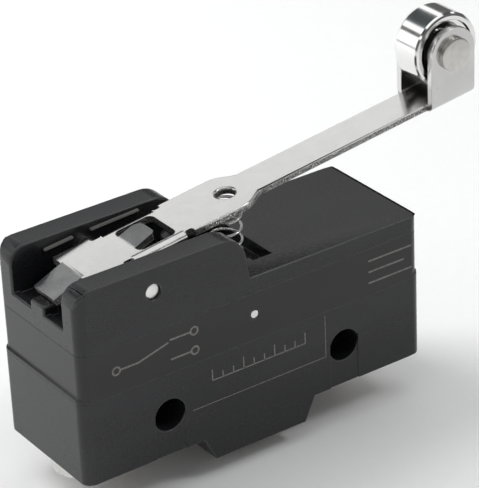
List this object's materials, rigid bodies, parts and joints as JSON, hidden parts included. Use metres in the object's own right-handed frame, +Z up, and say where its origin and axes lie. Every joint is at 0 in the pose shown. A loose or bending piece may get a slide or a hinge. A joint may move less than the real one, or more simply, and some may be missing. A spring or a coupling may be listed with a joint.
{
  "type": "limit switch",
  "caption": "Snap-action limit switch in a black moulded case, with a long hinged steel lever, a fork-mounted roller and side mounting holes.",
  "frame": {"origin": "centre of the two-hole mounting pattern, at mid-width of the case", "axes": "+X along the case towards the roller, +Z up towards the lever, -Y the front face"},
  "size_m": [0.0635, 0.0174, 0.0465],
  "materials": {
    "case_black": "moulded black phenolic, satin with slight unevenness",
    "cover_black": "moulded black phenolic, satin",
    "plunger_plastic": "moulded black plastic",
    "lever_nickel": "stamped stainless sheet, satin, with rolled edges",
    "roller_steel": "polished steel",
    "pin_steel": "plain steel",
    "spring_steel": "bright drawn wire",
    "screw_plate": "zinc-plated steel",
    "terminal_brass": "stamped brass",
    "blade_bronze": "rolled spring bronze",
    "contact_silver": "silver contact"
  },
  "bodies": {
    "case": {"base": "case_black", "case_cover": "cover_black", "lever_housing": "case_black", "case_rivet": "pin_steel", "hinge_pin": "pin_steel", "return_spring": "spring_steel", "blade_anchor": "pin_steel", "anchor_rivet": "pin_steel", "common_terminal": "terminal_brass", "open_terminal": "terminal_brass", "closed_terminal": "terminal_brass", "open_contact": "contact_silver", "closed_contact": "contact_silver", "terminal_screws": "screw_plate", "toothed_washers": "screw_plate"},
    "lever_arm": {"lever": "lever_nickel", "roller_pin": "pin_steel"},
    "roller": {"roller": "roller_steel"},
    "plunger": {"plunger": "plunger_plastic"},
    "blade": {"snap_blade": "blade_bronze", "moving_contact": "contact_silver"}
  },
  "joints": [
    {"name": "lever_swing", "type": "hinge", "parent": "case", "child": "lever_arm", "pos_m": [-0.0139, 0, 0.01685], "axis": [0, 1, 0], "range_deg": [0, 11], "stiffness_Nm_per_rad": 0.06, "springref_deg": -20.05, "deforming": ["return_spring"]},
    {"name": "roller_spin", "type": "hinge", "parent": "lever_arm", "child": "roller", "pos_m": [0.03416, 0, 0.03064], "axis": [0, 1, 0], "continuous": true},
    {"name": "plunger_press", "type": "slide", "parent": "case", "child": "plunger", "axis": [0, 0, -1], "range_m": [0, 0.0014]},
    {"name": "blade_tilt", "type": "hinge", "parent": "case", "child": "blade", "pos_m": [-0.0168, 0, 0.00725], "axis": [0, 1, 0], "range_deg": [0, 1.6], "deforming": ["snap_blade"]}
  ],
  "couplings": [
    {"joint": "plunger_press", "follows": "lever_swing", "m_per_rad": 0.0071},
    {"joint": "blade_tilt", "follows": "lever_swing", "ratio": 0.14}
  ]
}
